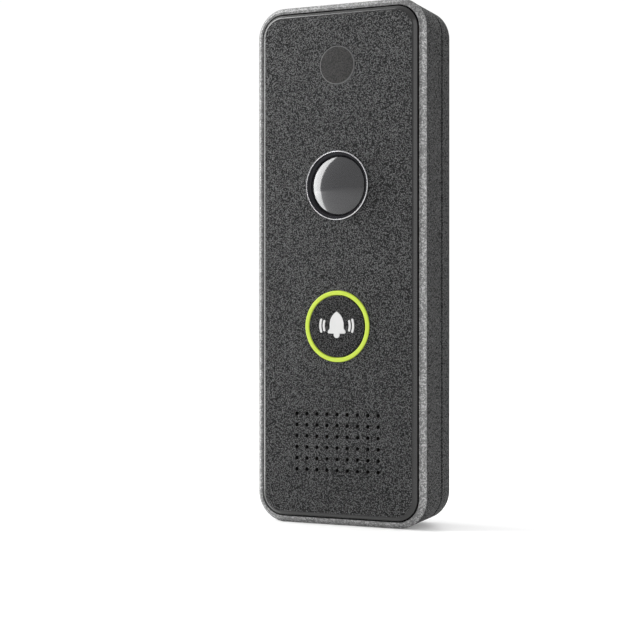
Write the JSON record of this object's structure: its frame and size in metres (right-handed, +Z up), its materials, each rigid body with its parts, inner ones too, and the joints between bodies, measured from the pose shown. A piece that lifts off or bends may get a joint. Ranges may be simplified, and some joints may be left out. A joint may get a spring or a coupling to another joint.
{
  "type": "video doorbell",
  "caption": "Slim upright video doorbell with a domed camera, a round call button in a lime light ring, a speaker grille and a hook-on wall bracket.",
  "frame": {"origin": "centre of the wall bracket's back face, where it meets the wall", "axes": "+Y into the wall, so the front faces -Y; +Z up the wall, along the height; +X to the right of someone facing the doorbell"},
  "size_m": [0.0506, 0.0212, 0.14],
  "materials": {
    "graphite_shell": "fine textured graphite plastic",
    "bracket_shell": "matt dark grey plastic",
    "bezel_metal": "fine sparkling metallic grey paint",
    "black_plastic": "matt black plastic",
    "white_plastic": "satin white plastic",
    "lime_guide": "lime translucent plastic, softly lit",
    "trim_metal": "dark bright-edged metal",
    "smoked_glass": "dark smoked polycarbonate, glossy",
    "window_filter": "dark infrared-pass plastic, satin",
    "lens_glass": "clear coated glass",
    "steel": "bright plated steel",
    "aluminium_can": "plain aluminium can",
    "copper_wire": "enamelled copper winding",
    "rubber_seals": "matt black silicone rubber",
    "foam": "black foam tape and acoustic cloth",
    "cone_paper": "black polymer film",
    "circuit_board": "green solder mask on glass fibre",
    "flex_foil": "amber polyimide film",
    "chip_black": "black moulded chip packages",
    "led_white": "white LED packages",
    "terminal_green": "green terminal plastic"
  },
  "bodies": {
    "bracket": {"wall_bracket": "bracket_shell", "lock_screw": "steel"},
    "unit": {"housing": "graphite_shell", "bezel": "bezel_metal", "front_panel": "graphite_shell", "panel_adhesive": "foam", "lens_trim_ring": "trim_metal", "lens_dome": "smoked_glass", "dome_gasket": "rubber_seals", "lens_holder": "black_plastic", "lens_barrel": "black_plastic", "front_lens": "lens_glass", "rear_lens": "lens_glass", "image_sensor": "chip_black", "camera_board": "circuit_board", "camera_flex": "flex_foil", "sensor_window": "window_filter", "night_light_board": "circuit_board", "night_led_1": "lens_glass", "night_led_2": "lens_glass", "night_led_3": "lens_glass", "night_led_4": "lens_glass", "light_sensor": "chip_black", "light_ring": "lime_guide", "ring_led_1": "led_white", "ring_led_2": "led_white", "ring_led_3": "led_white", "ring_led_4": "led_white", "main_board": "circuit_board", "board_screw_1": "steel", "board_screw_2": "steel", "switch_body": "black_plastic", "button_seal": "rubber_seals", "speaker_mesh": "foam", "speaker_gasket": "foam", "speaker_frame": "black_plastic", "speaker_yoke": "steel", "speaker_magnet": "steel", "speaker_lead": "rubber_seals", "microphone": "steel", "microphone_boot": "rubber_seals", "processor": "chip_black", "memory_chip": "chip_black", "radio_shield": "steel", "buffer_capacitor": "aluminium_can", "terminal_block": "terminal_green", "terminal_screw_1": "steel", "terminal_screw_2": "steel", "rear_cover": "black_plastic", "rear_gasket": "rubber_seals", "cover_screw_1": "steel", "cover_screw_2": "steel", "cover_screw_3": "steel", "cover_screw_4": "steel"},
    "button": {"call_button": "black_plastic", "bell_insert": "white_plastic"},
    "plunger": {"switch_plunger": "white_plastic"},
    "cone": {"speaker_cone": "cone_paper", "voice_coil": "copper_wire"}
  },
  "joints": [
    {"name": "unit_lift", "type": "slide", "parent": "bracket", "child": "unit", "axis": [0, 0, 1], "range_m": [0, 0.0032]},
    {"name": "button_press", "type": "slide", "parent": "unit", "child": "button", "axis": [0, 1, 0], "range_m": [0, 0.0005], "stiffness_N_per_m": 1500, "springref_m": -0.0005},
    {"name": "plunger_press", "type": "slide", "parent": "unit", "child": "plunger", "axis": [0, 1, 0], "range_m": [0, 0.0005]},
    {"name": "cone_stroke", "type": "slide", "parent": "unit", "child": "cone", "axis": [0, 1, 0], "range_m": [-0.0003, 0.0003], "stiffness_N_per_m": 1200}
  ],
  "couplings": [
    {"joint": "plunger_press", "follows": "button_press", "ratio": 1}
  ]
}
